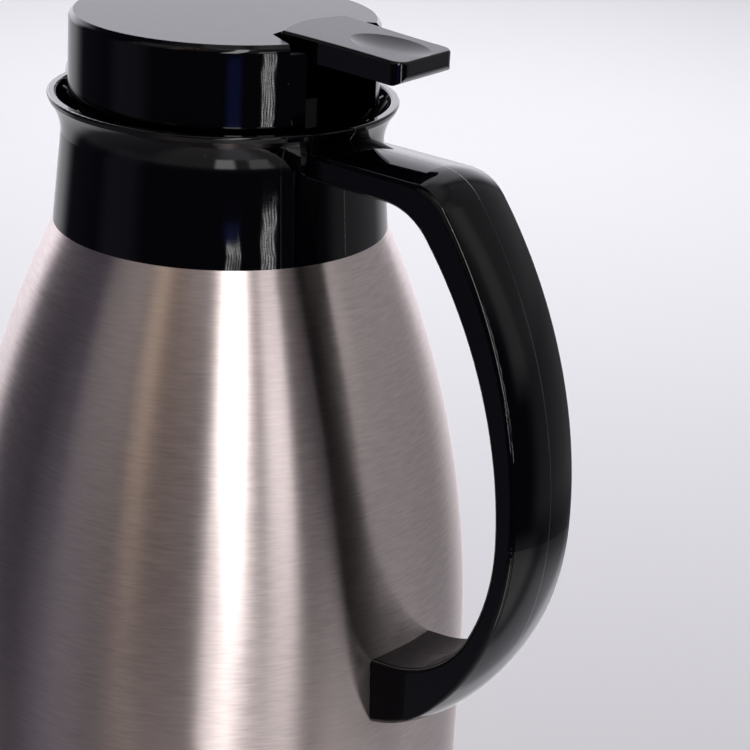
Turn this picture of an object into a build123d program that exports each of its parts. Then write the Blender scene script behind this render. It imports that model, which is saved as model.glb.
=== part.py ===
from build123d import *
from math import asin, cos, degrees, radians, sin, sqrt, tan
import os

# Two-litre vacuum carafe with a twist-in lid and a thumb lever.
#
# Millimetres. The origin is on the carafe's axis, on the surface that it stands on.
# +Z runs up the axis, +X points at the handle and -X at the spout.

# --- Fits -------------------------------------------------------------------
seat_gap = 0.15            # between fixed pieces whose curved faces meet
loose_gap = 0.3            # between pieces that drop in or pass each other
running_gap = 0.05         # radial play of a pin, stem or screw in its hole
cut_margin = 2.0           # how far a cut runs on past the face that it opens

# --- Steel body -------------------------------------------------------------
body_radius = 72.5
straight_top = 60.0        # the wall is straight up to here, then curves in
shell_wall = 0.8
shell_base = 4.0
base_corner = 5.0
base_flange_width = 12.5
vacuum_gap = 3.7
flask_base = 12.0
flask_corner = 14.0
neck_radius = 39.2
neck_cone_height = 11.0
neck_height = 11.0
neck_overlap = 1.2         # the flask's neck stands this far inside the shell's
base_plate_overlap = 4.0
seal_cap_radius = 6.0
seal_cap_height = 0.8
seal_hole_radius = 1.5
getter_radius = 5.0
getter_height = 3.0
getter_offset = 25.0
cover_inset = 5.5
cover_rim = 10.0
cover_floor = 2.0
cover_edge = 1.0

# --- Collar -----------------------------------------------------------------
collar_base = 184.0
collar_taper = 2.2
waist_rise = 24.5          # rises are measured from the collar's bottom edge
waist_reach = 3.5          # from the neck out to the collar's waist
collar_wall = 2.3
flare_reach = 1.05         # from the waist out to the flare's middle
flare_rise = 29.3
brim_rise = 34.6
brim_reach = 3.8           # from the waist out to the brim
brim_band = 1.7            # height of the brim's outer edge
brim_lean = 0.6            # how far that edge leans out over its height
brim_width = 2.4
brim_edge = 0.5
gasket_height = 1.2
web_thickness = 2.0
bowl_step = 1.0            # from the neck out to the foot of the bowl
throat_gap = 0.4           # from the flask's bore in to the throat's wall
throat_rise = 2.0
throat_wall = 2.0
lug_count = 3
lug_angle = 32.0
lug_height = 3.0
lug_depth = 0.8
lug_rise = 16.0
lug_recess_drop = 1.0      # the wider bore for the lugs starts this far under them
spout_overhang = 10.5      # from the brim out to the spout's tip
spout_half_width = 20.0
spout_tip_half_width = 4.5
spout_tip_roundness = 0.7  # radius of the tip's corners against its half width
spout_rise = 8.0           # the spout's underside meets the collar here
spout_root_overhang = 0.3
spout_root_half_width = 4.0
spout_root_tip_half_width = 3.0
spout_inboard_step = 0.7
spout_wall = 2.3
clip_rise = 2.0            # above the neck's cone
clip_height = 5.0
clip_depth = 1.8
clip_mouth = 40.0          # width of the opening in the snap ring

# --- Handle -----------------------------------------------------------------
handle_half_width = 12.3
arm_drop = 3.9             # from the brim down to the arm's top
arm_depth = 8.6
outer_bend_lead = 8.2      # the outer side bends this far after the inner side
outer_radii = (15.7, 125.2, 79.1, 37.3)
outer_turns = (50.8, 39.9, 47.6, 26.4)   # degrees that each arc turns
bend_lead = 3.2            # the inner side bends this far after the liner's start
inner_radii = (17.8, 115.6, 59.9, 32.5)
inner_turns = (49.8, 38.4, 28.0, 57.3)
tail_depth = 12.0          # both sides run on this far inside the steel body
handle_crown = 2.2         # height of the outer face's curve across the handle
handle_edge = 1.2
handle_outer_edge = 1.6
liner_lead = 3.3           # the liner starts this far after the tongue
liner_half_width = 8.0
liner_inset = 0.3
liner_thickness = 1.9
liner_trim = 0.4           # degrees left free at the liner's lower end
hollow_depth = 4.4
hollow_ledge = 0.9
tongue_root_gap = 0.5      # from the snap ring out to the tongue's root
tongue_length = 18.5
tongue_half_width = 6.6
tongue_cover = 3.3         # the arm's wall over the tongue
tongue_thickness = 3.8
arm_screw_insets = (12.0, 5.0)
arm_screw_length = 5.0
screw_radius = 1.5
pan_head_radius = 2.8
pan_head_height = 1.6
bracket_thickness = 1.2
bracket_half_width = 7.0
bracket_drop = 136.1       # from the arm's underside down to the bracket
bracket_height = 10.0
tab_rise = 6.8
tab_thickness = 1.6
tab_end = 4.0              # the tab runs on this far past the screw
tab_half_width = 5.0
handle_screw_lead = 18.5   # the lower screw stands this far out from the inner bend
handle_screw_wall = 1.3    # thickness of the handle under the screw's head
handle_screw_length = 6.0
plug_radius = 3.2

# --- Lid --------------------------------------------------------------------
lid_turn = 6.0             # the lever stands this far round from the handle
lid_height = 21.6
lid_thickness = 2.4
lid_top_lean = 1.2
lid_side_lean = 0.3
lid_overhang = 0.7         # from the foot of the bowl out to the skirt
lid_bevel = 1.3
lid_shoulder = 1.5
lid_drop = 0.4             # from the brim down to the skirt's edge
skirt_wall = 2.2
skirt_gap_start = 30.0
skirt_gap_half_width = 15.2
notch_middle = 24.0
notch_tip = (25.0, 12.6)
notch_rim = (37.5, 20.4)
lid_post_radius = 2.6
lid_screw_inset = 5.4
lid_screw_count = 3
lid_screw_spacing = 80.0
lid_screw_radius = 1.2
lid_screw_length = 9.0
lid_screw_head_radius = 2.1
lid_screw_head_height = 1.3

flange_gap = 0.7
flange_thickness = 2.5
plug_gap = 2.0             # from the throat in to the plug
plug_wall = 3.0
plug_depth = 38.2
plug_floor = 3.0
valve_port_radius = 12.0
outlet_half_width = 11.0
outlet_height = 5.0
outlet_drop = 0.5          # wall left between the outlet and the flange
stopper_lug_drop = 0.3     # the stopper's lugs lock this far under the collar's
gasket_groove_rise = 8.0
gasket_groove_height = 5.6
gasket_groove_depth = 1.3
gasket_lip = 0.9
back_wall_face = 28.6
back_wall_thickness = 2.0
back_wall_drop = 11.8
back_wall_dip_half_width = 16.0
arm_slot_depth = 5.6
arm_slot_gap = 0.8
guide_radius = 4.8
guide_foot_radius = 6.0
guide_depth = 11.2
guide_height = 3.3
o_ring_rise = 2.0
o_ring_wire = 1.1
ear_half_length = 3.5
ear_thickness = 3.0

# --- Thumb lever ------------------------------------------------------------
pivot_x = -20.0
pivot_rise = 14.3          # above the skirt's edge
pin_radius = 1.5
pivot_boss_radius = 3.6
lever_arm_half_width = 5.0
lever_arm_gap = 0.4
lever_arm_drop = 2.2       # from the pivot down to the arm's underside
lever_arm_depth = 5.3
lever_arm_end = 42.0
lever_pad_radius = 3.0
lever_pad_drop = 1.2       # how far the pad stands below the arm
lever_middle = 25.2        # the inner end is an arc through here
lever_tip = (28.4, 13.8)
lever_tip_edge = 0.8
lever_waist = (46.0, 12.3)
lever_end = 63.5
lever_end_half_width = 12.1
lever_corner = 3.4
lever_proud = 0.4          # the top face stands this far over the lid
lever_proud_place = 45.0
lever_slope = 4.6
lever_thickness = 6.0
lever_skin = 2.0
lever_side_wall = 2.2
lever_heel = 3.0
lever_edge = 0.7
dimple_centre = 52.0
dimple_half_length = 11.0
dimple_half_width = 8.2
dimple_depth = 1.3

# --- Valve ------------------------------------------------------------------
stem_radius = 3.0
stem_spigot_radius = 2.0
stem_spigot_height = 2.0
cap_thickness = 3.2
cap_radius = 8.0
cap_skirt_depth = 3.5
cap_skirt_wall = 1.1
valve_disc_radius = 15.5
valve_disc_thickness = 2.8
valve_seal_width = 2.6
valve_seal_height = 1.2
valve_seat_gap = 0.2
valve_screw_length = 10.0
valve_screw_head_radius = 3.2
valve_screw_head_height = 2.0
spring_wire_radius = 0.4
spring_turns = 4.5

# --- Sizes that follow ------------------------------------------------------
neck_cone_top = collar_base + neck_cone_height
neck_top = neck_cone_top + neck_height
flask_neck_radius = neck_radius - neck_overlap
collar_waist_height = collar_base + waist_rise
collar_waist_radius = neck_radius + waist_reach
collar_base_radius = collar_waist_radius + collar_taper
flare_middle = (collar_waist_radius + flare_reach, collar_base + flare_rise)
brim_height = collar_base + brim_rise
brim_radius = collar_waist_radius + brim_reach
spout_root = collar_base + spout_rise
spout_reach = brim_radius + spout_overhang
spout_root_reach = collar_waist_radius + spout_root_overhang

shoulder_inset = body_radius - collar_base_radius
shoulder_rise = collar_base - straight_top
shoulder_curve = (shoulder_inset**2 + shoulder_rise**2) / (2 * shoulder_inset)
base_flange_inner = body_radius - base_flange_width
base_plate_radius = base_flange_inner + base_plate_overlap
cover_radius = body_radius - cover_inset
cover_recess_radius = cover_radius - cover_rim
flask_inset = shell_wall + vacuum_gap
flask_radius = body_radius - flask_inset
flask_bore = flask_neck_radius - shell_wall
plate_base = shell_base + shell_wall
step_radius = collar_base_radius - collar_wall - loose_gap
neck_lip_top = neck_top + shell_wall

web_base = neck_lip_top + gasket_height
web_top = web_base + web_thickness
throat_outer = flask_bore - throat_gap
throat_radius = throat_outer - throat_wall
throat_base = collar_base + throat_rise
collar_lug_base = collar_base + lug_rise
lug_bore = throat_radius + lug_depth
bowl_radius = neck_radius + bowl_step
spout_inboard = bowl_radius + spout_inboard_step
clip_base = neck_cone_top + clip_rise
clip_radius = neck_radius + clip_depth

arm_top = brim_height - arm_drop
arm_bottom = arm_top - arm_depth
tongue_top = arm_top - tongue_cover
tongue_base = tongue_top - tongue_thickness
tongue_root = clip_radius + tongue_root_gap
tongue_tip = tongue_root + tongue_length
arm_screw_places = [tongue_tip - inset for inset in arm_screw_insets]
liner_start = tongue_tip + liner_lead
inner_bend_x = liner_start + bend_lead
inner_arcs = list(zip(inner_radii, inner_turns))
outer_arcs = list(zip(outer_radii, outer_turns))
outer_bend_x = inner_bend_x + outer_bend_lead
handle_screw_x = inner_bend_x + handle_screw_lead
tab_tip = handle_screw_x + tab_end
bracket_base = arm_bottom - bracket_drop
bracket_top = bracket_base + bracket_height
tab_base = bracket_base + tab_rise
crown_radius = (handle_half_width**2 + handle_crown**2) / (2 * handle_crown)
screw_hole_radius = screw_radius + running_gap
liner_depth = liner_inset + liner_thickness
tab_floor = tab_base - loose_gap
screw_seat = tab_floor - handle_screw_wall

lid_base = brim_height - lid_drop
lid_top = lid_base + lid_height
lid_base_radius = bowl_radius + lid_overhang
lid_side_radius = lid_base_radius - lid_side_lean
lid_top_radius = lid_side_radius - lid_top_lean
lid_screw_circle = lid_side_radius - lid_screw_inset
flange_radius = bowl_radius - flange_gap
flange_base = lid_base - flange_thickness
disc_underside = lid_top - lid_thickness
plug_outer = throat_radius - plug_gap
plug_base = lid_base - plug_depth
stopper_lug_top = collar_lug_base - stopper_lug_drop
lug_recess_base = stopper_lug_top - lug_height - lug_recess_drop
gasket_groove_base = plug_base + gasket_groove_rise
groove_radius = plug_outer - gasket_groove_depth
back_wall_top = lid_top - back_wall_drop
arm_slot_base = back_wall_top - arm_slot_depth
guide_base = lid_base - guide_depth
guide_top = lid_base + guide_height
o_ring_base = guide_base + o_ring_rise
stem_bore_radius = stem_radius + running_gap

pivot_height = lid_base + pivot_rise
lever_arm_base = pivot_height - lever_arm_drop
lever_arm_top = lever_arm_base + lever_arm_depth
lever_height = lid_top + lever_proud
valve_seat = plug_base - valve_seat_gap
disc_top = valve_seat - valve_seal_height
disc_base = disc_top - valve_disc_thickness
pad_base = lever_arm_base - lever_pad_drop
cap_top = pad_base - loose_gap
stem_shoulder = cap_top - cap_thickness
ear_inner = lever_arm_half_width + lever_arm_gap
ear_outer = ear_inner + ear_thickness

lid_along = (cos(radians(lid_turn)), sin(radians(lid_turn)), 0)
lid_across = (-sin(radians(lid_turn)), cos(radians(lid_turn)), 0)
lid_side = Plane(origin=(0, 0, 0), x_dir=lid_along, z_dir=(-lid_across[0], -lid_across[1], 0))


def lid_level(height):
    """Level plane of the lid, turned with the lever."""
    return Plane(origin=(0, 0, height), x_dir=lid_along, z_dir=(0, 0, 1))


def lid_screw_places():
    """Places of the lid's screws and posts, spread about the spout's side."""
    spread = (lid_screw_count - 1) * lid_screw_spacing
    return PolarLocations(
        lid_screw_circle, lid_screw_count, 180 - spread / 2, spread, endpoint=True
    )


def upright_plane(x, height):
    """Plane of the handle's centre, with its origin at a place on it."""
    return Plane(origin=(x, 0, height), x_dir=(1, 0, 0), z_dir=(0, -1, 0))


def save(part, name):
    """Label a finished piece and write it under its node's name."""
    part.label = name
    export_step(part, f"parts/{name}.step")


def shell_radius(height, inset=0.0):
    """Radius of the shell's outside, moved in by inset, at a height."""
    if height <= straight_top:
        return body_radius - inset
    curve = shoulder_curve - inset
    return body_radius - shoulder_curve + sqrt(curve**2 - (height - straight_top) ** 2)


def curve_height(radius, inset=0.0):
    """Height at which the shoulder curve, moved in by inset, has a radius."""
    curve = shoulder_curve - inset
    return straight_top + sqrt(curve**2 - (radius - body_radius + shoulder_curve) ** 2)


def shoulder_arc(low, high, inset=0.0):
    """Arc along the shoulder curve between two heights."""
    middle = (low + high) / 2
    return ThreePointArc(*[(shell_radius(z, inset), z) for z in (low, middle, high)])


def collar_side(outset=0.0):
    """Lines of the collar's outside, from its bottom edge to its brim."""
    wall = Line(
        (collar_base_radius + outset, collar_base),
        (collar_waist_radius + outset, collar_waist_height),
    )
    flare = ThreePointArc(
        wall @ 1,
        (flare_middle[0] + outset, flare_middle[1]),
        (brim_radius - brim_lean + outset, brim_height - brim_band),
    )
    band = Line(flare @ 1, (brim_radius + outset, brim_height))
    return wall, band


def bowl_side():
    """Lines of the bowl inside the brim, from the top down to the web."""
    rim = brim_radius - brim_width
    return Polyline(
        (rim, brim_height),
        (rim - brim_lean, brim_height - brim_band),
        (bowl_radius, web_top),
    )


def spout_plan(height, inset=0.0):
    """Plan of the spout at a height, moved in by inset."""
    share = (height - spout_root) / (brim_height - spout_root)
    reach = spout_root_reach + share * (spout_reach - spout_root_reach) - inset
    tip = spout_root_tip_half_width + share * (spout_tip_half_width - spout_root_tip_half_width)
    side = spout_root_half_width + share * (spout_half_width - spout_root_half_width)
    with BuildSketch(Plane.XY.offset(height)) as plan:
        with BuildLine():
            Polyline(
                (-spout_inboard + inset, side - inset),
                (-reach, tip - inset),
                (-reach, inset - tip),
                (-spout_inboard + inset, inset - side),
                close=True,
            )
        make_face()
        tip_corners = plan.vertices().sort_by(Axis.X)[:2]
        fillet(tip_corners, (tip - inset) * spout_tip_roundness)
    return plan.sketch


def ring_sector(inner, outer, angle):
    """Plan of a piece of a ring, centred on +X."""
    with BuildSketch() as sector:
        with BuildLine():
            CenterArc((0, 0), outer, -angle / 2, angle)
            CenterArc((0, 0), inner, -angle / 2, angle)
            for turned in (radians(-angle / 2), radians(angle / 2)):
                Line(
                    (inner * cos(turned), inner * sin(turned)),
                    (outer * cos(turned), outer * sin(turned)),
                )
        make_face()
    return sector.sketch


def handle_run(start_x, height, bend_x, arcs, depth=0.0):
    """One side of the handle: a straight arm, then arcs that bend down from it.

    Depth moves the whole run away from the centres of its arcs.
    """
    edges = [Line((start_x, height + depth), (bend_x, height + depth))]
    for radius, sweep in arcs:
        edges.append(JernArc(edges[-1] @ 1, edges[-1] % 1, radius + depth, -sweep))
    return edges


def handle_tail(edge):
    """A straight run on from a side's last arc, into the steel body."""
    heading = edge % 1
    length = ((edge @ 1).X - body_radius + tail_depth) / -heading.X
    return Line(edge @ 1, edge @ 1 + heading * length)


def inner_side():
    """The handle's inner side, towards the body."""
    edges = handle_run(neck_radius, arm_bottom, inner_bend_x, inner_arcs)
    return edges + [handle_tail(edges[-1])]


def outer_side():
    """The handle's outer side, along the crest of its crown."""
    edges = handle_run(neck_radius, arm_top, outer_bend_x, outer_arcs)
    return edges + [handle_tail(edges[-1])]


def side_edges(grip, side_wire, reach):
    """Edges along the handle's sides that stay within reach of one side's wire."""
    return [
        edge
        for edge in grip.edges()
        if edge.length > handle_half_width / 2
        and Vertex((edge @ 0.5).X, 0, (edge @ 0.5).Z).distance_to(side_wire) < reach
        and abs(abs((edge @ 0.5).Y) - handle_half_width) < running_gap
    ]


def liner_band(start_x, near, far, trim=0.0):
    """Side view of a strip in the handle's inner side, between two depths."""
    radius, sweep = inner_arcs[2]
    arcs = inner_arcs[:2] + [(radius, sweep - trim)]
    with BuildSketch(Plane.XZ) as band:
        with BuildLine():
            close_side = handle_run(start_x, arm_bottom, inner_bend_x, arcs, near)
            far_side = handle_run(start_x, arm_bottom, inner_bend_x, arcs, far)
            Line(close_side[0] @ 0, far_side[0] @ 0)
            Line(close_side[-1] @ 1, far_side[-1] @ 1)
        make_face()
    return band.sketch


def bracket_band(near, far, spread):
    """Section of a plate that hugs the shell, at one edge of its width."""
    low, high = bracket_base - spread, bracket_top + spread
    half_angle = asin((bracket_half_width + spread) / body_radius)
    edge_plane = Plane.XZ.rotated((0, 0, -degrees(half_angle)))
    with BuildSketch(edge_plane) as band:
        with BuildLine():
            inside = shoulder_arc(low, high, -near)
            outside = shoulder_arc(low, high, -far)
            Line(inside @ 0, outside @ 0)
            Line(inside @ 1, outside @ 1)
        make_face()
    return band.sketch, degrees(2 * half_angle)


def screw_half(radius, length, head_radius, head_height):
    """Half section of a domed screw that points up, with its seat at zero."""
    side = head_height / 2
    dome = (head_radius**2 + (head_height - side) ** 2) / (2 * (head_height - side))
    Polyline((0, length), (radius, length), (radius, 0), (head_radius, 0), (head_radius, -side))
    crown = RadiusArc((head_radius, -side), (0, -head_height), dome)
    Line(crown @ 1, (0, length))


# --- Steel body -------------------------------------------------------------
with BuildPart() as outer_shell:
    with BuildSketch(Plane.XZ):
        with BuildLine():
            ledge = collar_base - shell_wall
            base = Line((base_flange_inner, shell_base), (body_radius - base_corner, shell_base))
            corner = JernArc(base @ 1, (1, 0), base_corner, 90)
            Line(corner @ 1, (body_radius, straight_top))
            shoulder = shoulder_arc(straight_top, collar_base)
            Polyline(
                shoulder @ 1,
                (step_radius, collar_base),
                (neck_radius, neck_cone_top),
                (neck_radius, neck_top),
                (neck_radius - shell_wall, neck_top),
                (neck_radius - shell_wall, neck_cone_top),
                (step_radius - shell_wall, ledge),
                (shell_radius(ledge, shell_wall), ledge),
            )
            inner_shoulder = shoulder_arc(straight_top, ledge, shell_wall)
            inside = Line(inner_shoulder @ 0, (body_radius - shell_wall, shell_base + base_corner))
            inner_corner = JernArc(inside @ 1, (0, -1), base_corner - shell_wall, -90)
            Polyline(inner_corner @ 1, (base_flange_inner, plate_base), base @ 0)
        make_face()
    revolve(axis=Axis.Z)
save(outer_shell.part, "outer_shell")

with BuildPart() as inner_flask:
    with BuildSketch(Plane.XZ):
        with BuildLine():
            floor = Line((0, flask_base), (flask_radius - flask_corner, flask_base))
            corner = JernArc(floor @ 1, (1, 0), flask_corner, 90)
            Line(corner @ 1, (flask_radius, straight_top))
            shoulder = shoulder_arc(
                straight_top, curve_height(flask_neck_radius, flask_inset), flask_inset
            )
            bore_end = curve_height(flask_bore, flask_inset + shell_wall)
            Polyline(
                shoulder @ 1,
                (flask_neck_radius, neck_top),
                (neck_radius, neck_top),
                (neck_radius, neck_lip_top),
                (flask_bore, neck_lip_top),
                (flask_bore, bore_end),
            )
            inner_shoulder = shoulder_arc(straight_top, bore_end, flask_inset + shell_wall)
            inside = Line(
                inner_shoulder @ 0, (flask_radius - shell_wall, flask_base + flask_corner)
            )
            inner_corner = JernArc(inside @ 1, (0, -1), flask_corner - shell_wall, -90)
            Polyline(inner_corner @ 1, (0, flask_base + shell_wall), floor @ 0)
        make_face()
    revolve(axis=Axis.Z)
save(inner_flask.part, "inner_flask")

with BuildPart() as base_plate:
    with BuildSketch(Plane.XY.offset(plate_base)):
        Circle(base_plate_radius)
        Circle(seal_hole_radius, mode=Mode.SUBTRACT)
    extrude(amount=shell_wall)
save(base_plate.part, "base_plate")

with BuildPart() as vacuum_seal_cap:
    with BuildSketch(Plane.XY.offset(plate_base)):
        Circle(seal_cap_radius)
    extrude(amount=-seal_cap_height)
    chamfer(vacuum_seal_cap.edges().group_by(Axis.Z)[0], seal_cap_height / 3)
save(vacuum_seal_cap.part, "vacuum_seal_cap")

with BuildPart() as getter:
    with BuildSketch(Plane.XY.offset(plate_base + shell_wall)):
        with Locations((getter_offset, 0)):
            Circle(getter_radius)
    extrude(amount=getter_height)
    fillet(getter.edges().group_by(Axis.Z)[-1], getter_height / 4)
save(getter.part, "getter")

with BuildPart() as base_cover:
    with BuildSketch(Plane.XY):
        Circle(cover_radius)
    extrude(amount=shell_base)
    fillet(base_cover.edges().group_by(Axis.Z)[0], cover_edge)
    with BuildSketch(Plane.XY.offset(shell_base)):
        Circle(cover_recess_radius)
    extrude(amount=cover_floor - shell_base, mode=Mode.SUBTRACT)
save(base_cover.part, "base_cover")

# --- Collar -----------------------------------------------------------------
collar_lug = ring_sector(throat_radius, (lug_bore + throat_outer) / 2, lug_angle)
stopper_lug = ring_sector(plug_outer - plug_wall / 2, throat_radius - loose_gap, lug_angle)
spout_outside = [spout_plan(spout_root), spout_plan(brim_height)]
trough_top = brim_height + cut_margin
spout_trough = [spout_plan(web_top, spout_wall), spout_plan(trough_top, spout_wall)]

with BuildPart() as collar:
    with BuildSketch(Plane.XZ):
        with BuildLine():
            wall, band = collar_side()
            bowl = bowl_side()
            Line(band @ 1, bowl @ 0)
            Polyline(
                bowl @ 1,
                (lug_bore, web_top),
                (lug_bore, lug_recess_base),
                (throat_radius, lug_recess_base),
                (throat_radius, throat_base),
                (throat_outer, throat_base),
                (throat_outer, web_base),
                (clip_radius + seat_gap, web_base),
                (clip_radius + seat_gap, neck_cone_top),
                (collar_base_radius - collar_wall, collar_base),
                wall @ 0,
            )
        make_face()
    revolve(axis=Axis.Z)
    loft(spout_outside, ruled=True)
    with BuildSketch(Plane.XZ):
        with BuildLine():
            bowl = bowl_side()
            Polyline(
                bowl @ 1,
                (0, web_top),
                (0, trough_top),
                (brim_radius - brim_width, trough_top),
                bowl @ 0,
            )
        make_face()
    revolve(axis=Axis.Z, mode=Mode.SUBTRACT)
    loft(spout_trough, ruled=True, mode=Mode.SUBTRACT)
    fillet(collar.edges().group_by(Axis.Z)[-1], brim_edge)
    with BuildSketch(Plane.XY.offset(collar_lug_base)):
        with PolarLocations(0, lug_count):
            add(collar_lug)
    extrude(amount=lug_height)
    with BuildSketch(Plane.XY.offset(tongue_base)):
        with Locations(((tongue_root + tongue_tip) / 2, 0)):
            Rectangle(tongue_tip - tongue_root, 2 * tongue_half_width)
        with Locations([(x, 0) for x in arm_screw_places]):
            Circle(screw_hole_radius, mode=Mode.SUBTRACT)
    extrude(amount=tongue_top - tongue_base)
save(collar.part, "collar")

with BuildPart() as collar_clip:
    with BuildSketch(Plane.XY.offset(clip_base)):
        Circle(clip_radius)
        Circle(neck_radius + running_gap, mode=Mode.SUBTRACT)
        with Locations((-clip_radius, 0)):
            Rectangle(clip_radius, clip_mouth, mode=Mode.SUBTRACT)
    extrude(amount=clip_height)
save(collar_clip.part, "collar_clip")

with BuildPart() as neck_gasket:
    with BuildSketch(Plane.XY.offset(neck_lip_top)):
        Circle(neck_radius)
        Circle(throat_outer + seat_gap, mode=Mode.SUBTRACT)
    extrude(amount=gasket_height)
save(neck_gasket.part, "neck_gasket")

# --- Handle -----------------------------------------------------------------
with BuildLine(Plane.XZ) as inner_path:
    inner_side()
with BuildLine(Plane.XZ) as outer_path:
    outer_side()

with BuildPart() as grip_form:
    with BuildSketch(Plane.XZ):
        with BuildLine():
            inside = inner_side()
            outside = outer_side()
            Line(inside[0] @ 0, outside[0] @ 0)
            Line(inside[-1] @ 1, outside[-1] @ 1)
        make_face()
    extrude(amount=handle_half_width, both=True)
    fillet(side_edges(grip_form, inner_path.wire(), running_gap), handle_edge)
    with BuildSketch(Plane.YZ.offset(neck_radius)):
        with BuildLine():
            reach = handle_half_width + cut_margin
            drop = crown_radius - sqrt(crown_radius**2 - reach**2)
            crest = ThreePointArc((-reach, arm_top - drop), (0, arm_top), (reach, arm_top - drop))
            Polyline(
                crest @ 1, (reach, arm_top + cut_margin), (-reach, arm_top + cut_margin), crest @ 0
            )
        make_face()
    sweep(path=outer_path.wire(), mode=Mode.SUBTRACT)
    outer_edges = side_edges(grip_form, outer_path.wire(), handle_crown + running_gap)
    fillet(outer_edges, handle_outer_edge)

with BuildPart() as handle:
    add(grip_form.part)
    with BuildSketch(Plane.XZ):
        with BuildLine():
            low = straight_top - tail_depth
            wall = shoulder_arc(straight_top, collar_base, -seat_gap)
            wall_side, band = collar_side(seat_gap)
            Line(wall @ 1, wall_side @ 0)
            Polyline(
                band @ 1,
                (brim_radius, brim_height + cut_margin),
                (0, brim_height + cut_margin),
                (0, low),
                (body_radius + seat_gap, low),
                wall @ 0,
            )
        make_face()
    revolve(axis=Axis.Z, mode=Mode.SUBTRACT)
    with BuildSketch(Plane.XY.offset(tongue_base - loose_gap)):
        with Locations(((tongue_tip + loose_gap) / 2, 0)):
            Rectangle(tongue_tip + loose_gap, 2 * (tongue_half_width + loose_gap))
    extrude(amount=tongue_top - tongue_base + 2 * loose_gap, mode=Mode.SUBTRACT)
    with BuildSketch(Plane.XY.offset(arm_bottom - cut_margin)):
        with Locations([(x, 0) for x in arm_screw_places]):
            Circle(screw_hole_radius)
    extrude(amount=tongue_base - arm_bottom + cut_margin, mode=Mode.SUBTRACT)
    extrude(
        liner_band(liner_start - loose_gap, -handle_edge, liner_depth + running_gap),
        amount=liner_half_width + seat_gap,
        both=True,
        mode=Mode.SUBTRACT,
    )
    extrude(
        liner_band(liner_start - loose_gap, liner_depth, hollow_depth),
        amount=liner_half_width - hollow_ledge,
        both=True,
        mode=Mode.SUBTRACT,
    )
    plate_recess, recess_angle = bracket_band(
        -cut_margin, running_gap + bracket_thickness + loose_gap, loose_gap
    )
    revolve(plate_recess, axis=Axis.Z, revolution_arc=recess_angle, mode=Mode.SUBTRACT)
    with BuildSketch(Plane.XY.offset(tab_floor)):
        with Locations(((tab_tip + loose_gap) / 2, 0)):
            Rectangle(tab_tip + loose_gap, 2 * (tab_half_width + loose_gap))
    extrude(amount=tab_thickness + 2 * loose_gap, mode=Mode.SUBTRACT)
    with BuildSketch(Plane.XY.offset(screw_seat)):
        with Locations((handle_screw_x, 0)):
            Circle(plug_radius + seat_gap)
    extrude(amount=-bracket_base, mode=Mode.SUBTRACT)
    with BuildSketch(Plane.XY.offset(screw_seat)):
        with Locations((handle_screw_x, 0)):
            Circle(screw_hole_radius)
    extrude(amount=handle_screw_length + loose_gap, mode=Mode.SUBTRACT)
save(handle.part, "handle")

with BuildPart() as handle_liner:
    extrude(
        liner_band(liner_start, liner_inset, liner_depth, liner_trim),
        amount=liner_half_width,
        both=True,
    )
save(handle_liner.part, "handle_liner")

with BuildPart() as handle_bracket:
    plate, plate_angle = bracket_band(running_gap, running_gap + bracket_thickness, 0)
    revolve(plate, axis=Axis.Z, revolution_arc=plate_angle)
    with BuildSketch(Plane.XY.offset(tab_base)):
        tab_root = shell_radius(tab_base) + bracket_thickness / 2
        with Locations(((tab_root + tab_tip) / 2, 0)):
            Rectangle(tab_tip - tab_root, 2 * tab_half_width)
        with Locations((handle_screw_x, 0)):
            Circle(screw_hole_radius, mode=Mode.SUBTRACT)
    extrude(amount=tab_thickness)
save(handle_bracket.part, "handle_bracket")

with BuildPart() as handle_lower_screw:
    with BuildSketch(upright_plane(handle_screw_x, screw_seat)):
        with BuildLine():
            screw_half(screw_radius, handle_screw_length, pan_head_radius, pan_head_height)
        make_face()
    revolve(axis=Axis((handle_screw_x, 0, 0), (0, 0, 1)))
save(handle_lower_screw.part, "handle_lower_screw")

with BuildPart() as handle_plug:
    add(grip_form.part)
    with BuildSketch(Plane.XY.offset(screw_seat - pan_head_height - seat_gap)):
        with Locations((handle_screw_x, 0)):
            Circle(plug_radius)
    extrude(amount=-bracket_base, mode=Mode.INTERSECT)
save(handle_plug.part, "handle_plug")

with BuildPart() as arm_screws:
    for x in arm_screw_places:
        with BuildSketch(upright_plane(x, arm_bottom)):
            with BuildLine():
                screw_half(screw_radius, arm_screw_length, pan_head_radius, pan_head_height)
            make_face()
        revolve(axis=Axis((x, 0, 0), (0, 0, 1)))
save(arm_screws.part, "handle_arm_screws")

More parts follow.
